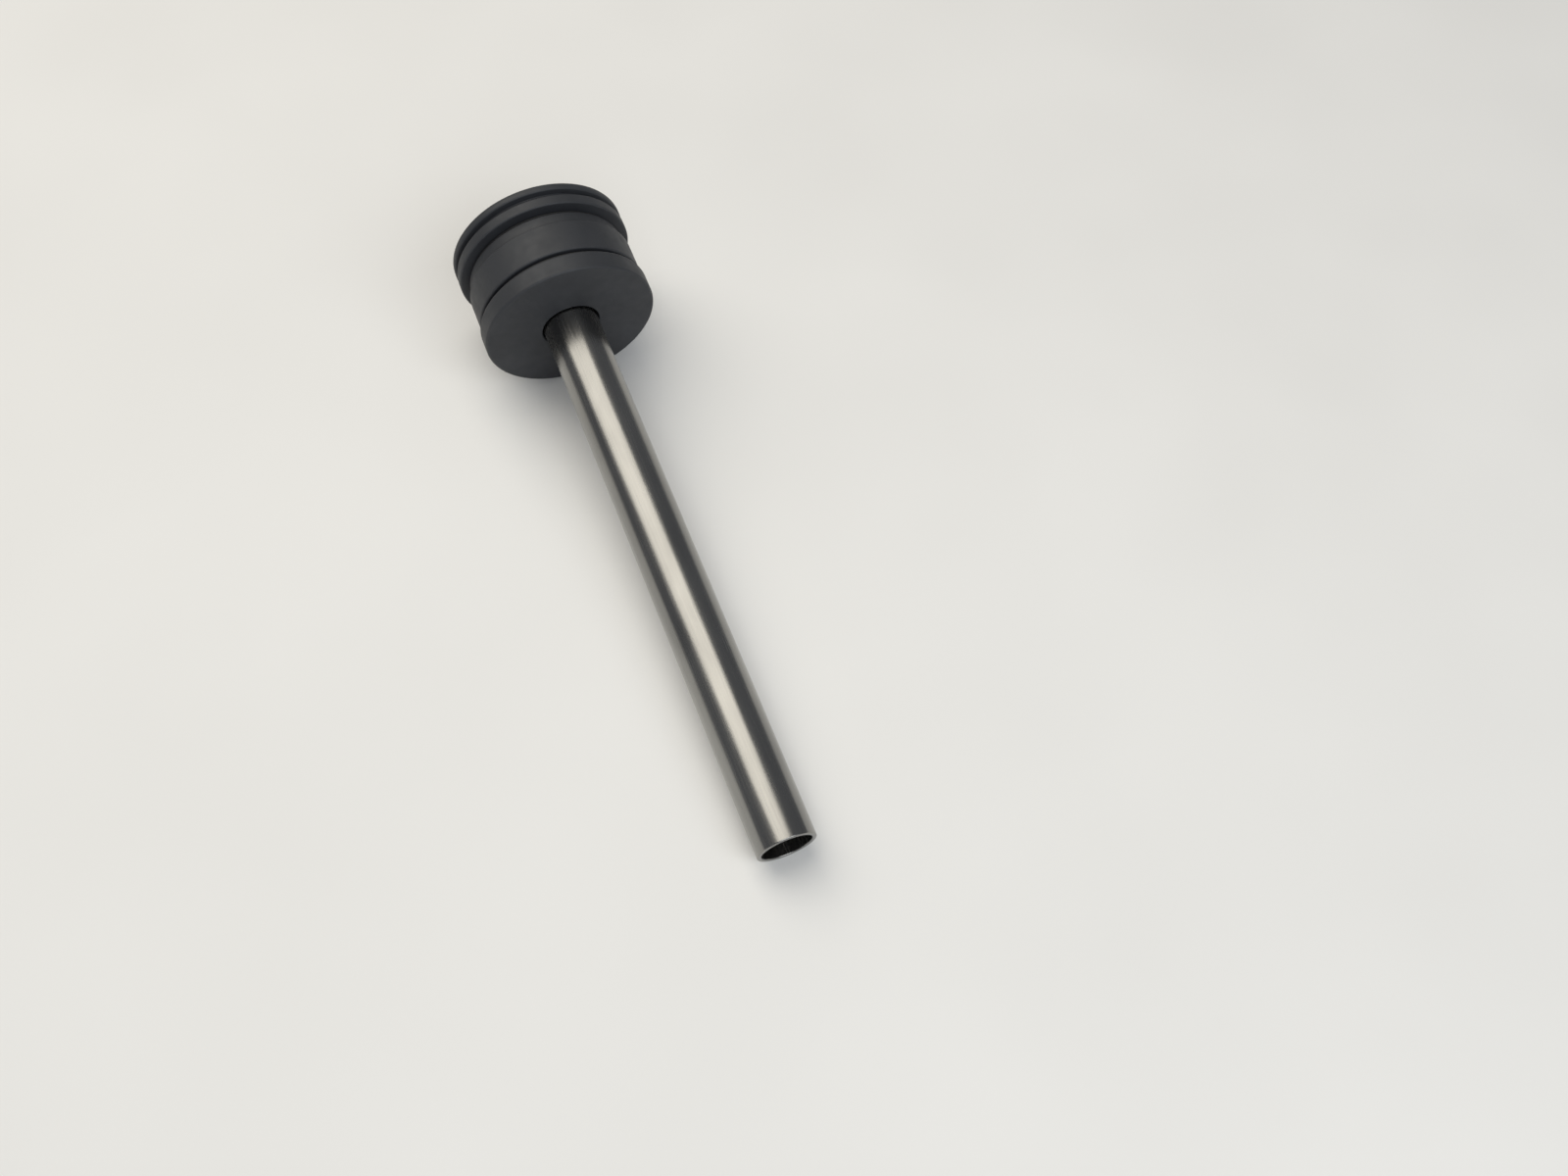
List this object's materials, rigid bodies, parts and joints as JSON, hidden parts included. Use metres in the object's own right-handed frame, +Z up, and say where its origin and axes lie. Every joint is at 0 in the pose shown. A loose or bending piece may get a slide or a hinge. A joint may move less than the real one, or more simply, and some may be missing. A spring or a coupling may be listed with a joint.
{
  "type": "flame sensor probe",
  "caption": "Flame sensor probe: ribbed round black head with a front flange and a long thin-walled steel probe tube, holding a plug-in phototube behind a window at its open tip.",
  "frame": {"origin": "on the ground under the middle of the bounding box, with the probe lying on its flange rim and the tip of its tube", "axes": "+Y runs from the tip towards the rear cap, +Z is up; the probe's own axis lies in the YZ plane and drops 5.9 degrees from the head to the tip"},
  "size_m": [0.0348, 0.1356, 0.0364],
  "materials": {
    "black_moulding": "moulded plastic, fine satin texture",
    "probe_steel": "drawn thin-walled tube, satin, faintly warm",
    "rubber": "matt moulded rubber",
    "gasket_fibre": "red-brown vulcanised fibre",
    "brass": "turned brass",
    "quartz": "clear fused quartz",
    "nickel": "nickel plate",
    "grey_moulding": "moulded plastic",
    "board_laminate": "green solder resist on glass laminate",
    "zinc_steel": "bright zinc plate",
    "green_moulding": "moulded plastic",
    "resistor_body": "lacquered",
    "capacitor_body": "plastic sleeve over a can",
    "white_insulation": "waxy white insulating plastic",
    "ceramic": "fired, unglazed",
    "red_insulation": "wire insulation",
    "blue_insulation": "wire insulation"
  },
  "bodies": {
    "root": {"probe_tube": "probe_steel", "front_flange": "black_moulding", "drum_housing": "black_moulding", "flange_gasket": "rubber", "tube_gasket": "gasket_fibre", "tube_clamp_nut": "brass", "window": "quartz", "window_retaining_ring": "nickel", "window_seal": "rubber", "window_seat_ring": "nickel"},
    "insert": {"insert_carrier": "grey_moulding", "circuit_board": "board_laminate", "board_screw_1": "zinc_steel", "board_screw_2": "zinc_steel", "terminal_block": "green_moulding", "terminal_clamp_1": "nickel", "terminal_clamp_2": "nickel", "resistor": "resistor_body", "capacitor": "capacitor_body", "lead_sleeve": "white_insulation", "centring_ring_1": "white_insulation", "centring_ring_2": "white_insulation", "phototube_socket": "ceramic", "socket_contact_1": "brass", "socket_contact_2": "brass", "lead_1": "red_insulation", "lead_2": "blue_insulation"},
    "phototube": {"phototube_bulb": "quartz", "phototube_base": "ceramic", "cathode": "nickel", "anode": "nickel"},
    "cap": {"rear_cap": "black_moulding", "cap_seal": "rubber", "cable_grommet": "rubber"},
    "cap_screw_1": {"cap_screw_1": "zinc_steel"},
    "cap_screw_2": {"cap_screw_2": "zinc_steel"},
    "terminal_screw_1": {"terminal_screw_1": "nickel"},
    "terminal_screw_2": {"terminal_screw_2": "nickel"}
  },
  "joints": [
    {"name": "insert_slide", "type": "slide", "parent": "root", "child": "insert", "axis": [0, 0.9947, 0.1024], "range_m": [0, 0.125]},
    {"name": "cap_slide", "type": "slide", "parent": "insert", "child": "cap", "axis": [0, 0.9947, 0.1024], "range_m": [0, 0.03]},
    {"name": "phototube_slide", "type": "slide", "parent": "insert", "child": "phototube", "axis": [0, -0.9947, -0.1024], "range_m": [0, 0.0046]},
    {"name": "cap_screw_1_turn", "type": "hinge", "parent": "cap", "child": "cap_screw_1", "pos_m": [-0.0102, 0.06462, 0.019], "axis": [0, 0.9947, 0.1024], "continuous": true},
    {"name": "cap_screw_2_turn", "type": "hinge", "parent": "cap", "child": "cap_screw_2", "pos_m": [0.0102, 0.06462, 0.019], "axis": [0, 0.9947, 0.1024], "continuous": true},
    {"name": "terminal_screw_1_turn", "type": "hinge", "parent": "insert", "child": "terminal_screw_1", "pos_m": [-0.0025, 0.06102, 0.01009], "axis": [0, 0.9947, 0.1024], "continuous": true},
    {"name": "terminal_screw_2_turn", "type": "hinge", "parent": "insert", "child": "terminal_screw_2", "pos_m": [0.0025, 0.06102, 0.01009], "axis": [0, 0.9947, 0.1024], "continuous": true}
  ]
}
